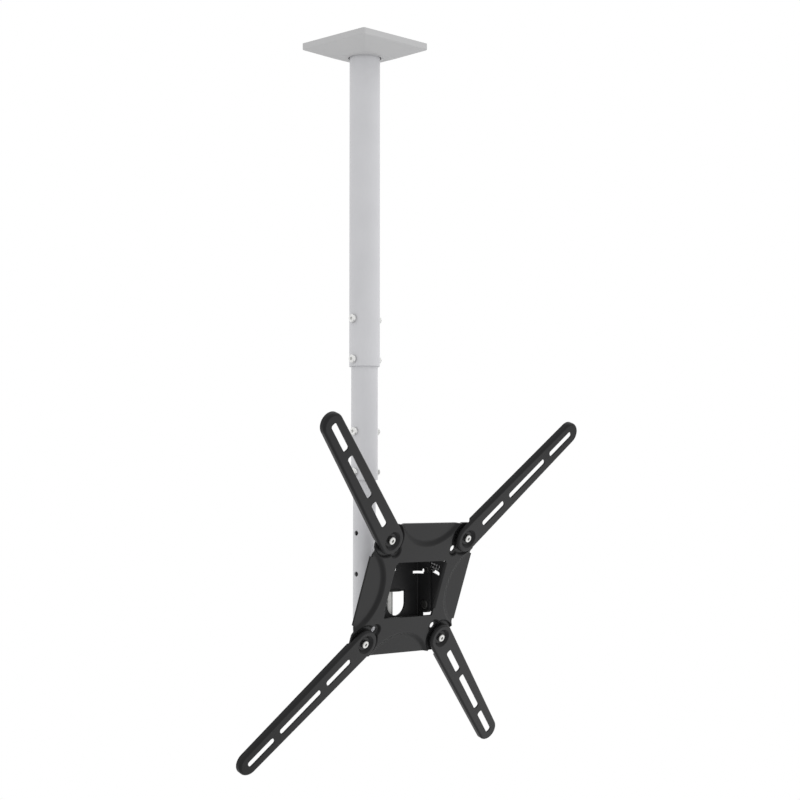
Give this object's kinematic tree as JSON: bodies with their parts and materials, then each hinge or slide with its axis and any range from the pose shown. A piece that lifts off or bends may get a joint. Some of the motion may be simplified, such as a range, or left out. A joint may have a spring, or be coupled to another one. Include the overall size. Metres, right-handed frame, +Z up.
{
  "type": "tv ceiling mount",
  "caption": "Ceiling mount for a flat screen: telescopic round pole with a square ceiling cover, swivelling and tilting yoke, and a pressed plate with slotted pivoting arms.",
  "frame": {"origin": "centre of the ceiling face, on the pole's axis", "axes": "+Z up along the pole, +X to the right seen from the screen's side, the screen faces -Y"},
  "size_m": [0.4326, 0.221, 0.8795],
  "materials": {
    "black_steel": "satin powder coat",
    "grey_steel": "satin paint",
    "cover_plastic": "matt",
    "cap_plastic": "matt",
    "zinc_steel": "zinc plated",
    "nylon": "matt"
  },
  "bodies": {
    "ceiling_stage": {"ceiling_plate": "grey_steel", "outer_tube": "grey_steel", "outer_clamp_screws": "zinc_steel", "outer_set_screws": "zinc_steel", "outer_jam_nuts": "zinc_steel"},
    "cover": {"ceiling_cover": "cover_plastic"},
    "middle_stage": {"middle_tube": "grey_steel", "middle_clamp_screws": "zinc_steel", "middle_set_screws": "zinc_steel", "middle_jam_nuts": "zinc_steel"},
    "inner_stage": {"inner_tube": "grey_steel", "tube_end_cap": "cap_plastic", "upper_swivel_lug": "grey_steel", "lower_swivel_lug": "grey_steel", "swivel_bolt": "zinc_steel", "swivel_nut": "zinc_steel", "swivel_flat_washers": "zinc_steel", "swivel_friction_washers": "nylon"},
    "tilt_yoke": {"yoke": "black_steel", "swivel_spacer": "zinc_steel", "tilt_pivot_bolts": "black_steel", "tilt_pivot_nuts": "zinc_steel", "tilt_pivot_washers": "zinc_steel", "tilt_lock_bolts": "black_steel", "tilt_lock_nuts": "zinc_steel", "tilt_lock_washers": "zinc_steel", "tilt_friction_washers": "nylon"},
    "screen_plate": {"vesa_plate": "black_steel", "arm_pivot_bolts": "zinc_steel", "arm_pivot_washers": "zinc_steel", "arm_friction_washers": "nylon", "arm_back_washers": "zinc_steel", "arm_pivot_nuts": "zinc_steel"},
    "top_right_arm": {"arm_top_right": "black_steel"},
    "top_left_arm": {"arm_top_left": "black_steel"},
    "bottom_left_arm": {"arm_bottom_left": "black_steel"},
    "bottom_right_arm": {"arm_bottom_right": "black_steel"}
  },
  "joints": [
    {"name": "cover_slide", "type": "slide", "parent": "ceiling_stage", "child": "cover", "axis": [0, 0, -1], "range_m": [0, 0.3]},
    {"name": "middle_slide", "type": "slide", "parent": "ceiling_stage", "child": "middle_stage", "axis": [0, 0, 1], "range_m": [0, 0.07]},
    {"name": "inner_slide", "type": "slide", "parent": "middle_stage", "child": "inner_stage", "axis": [0, 0, 1], "range_m": [0, 0.12]},
    {"name": "swivel", "type": "hinge", "parent": "inner_stage", "child": "tilt_yoke", "pos_m": [0, -0.041, -0.6975], "axis": [0, 0, 1], "range_deg": [-60, 60]},
    {"name": "tilt", "type": "hinge", "parent": "tilt_yoke", "child": "screen_plate", "pos_m": [0, -0.067, -0.6958], "axis": [-1, 0, 0], "range_deg": [0, 20]},
    {"name": "top_right_pivot", "type": "hinge", "parent": "screen_plate", "child": "top_right_arm", "pos_m": [0.065, -0.10919, -0.6141], "axis": [0, -0.9397, -0.342], "range_deg": [-30, 30]},
    {"name": "top_left_pivot", "type": "hinge", "parent": "screen_plate", "child": "top_left_arm", "pos_m": [-0.065, -0.10919, -0.6141], "axis": [0, -0.9397, -0.342], "range_deg": [-30, 30]},
    {"name": "bottom_left_pivot", "type": "hinge", "parent": "screen_plate", "child": "bottom_left_arm", "pos_m": [-0.065, -0.06472, -0.73626], "axis": [0, -0.9397, -0.342], "range_deg": [-30, 30]},
    {"name": "bottom_right_pivot", "type": "hinge", "parent": "screen_plate", "child": "bottom_right_arm", "pos_m": [0.065, -0.06472, -0.73626], "axis": [0, -0.9397, -0.342], "range_deg": [-30, 30]}
  ]
}
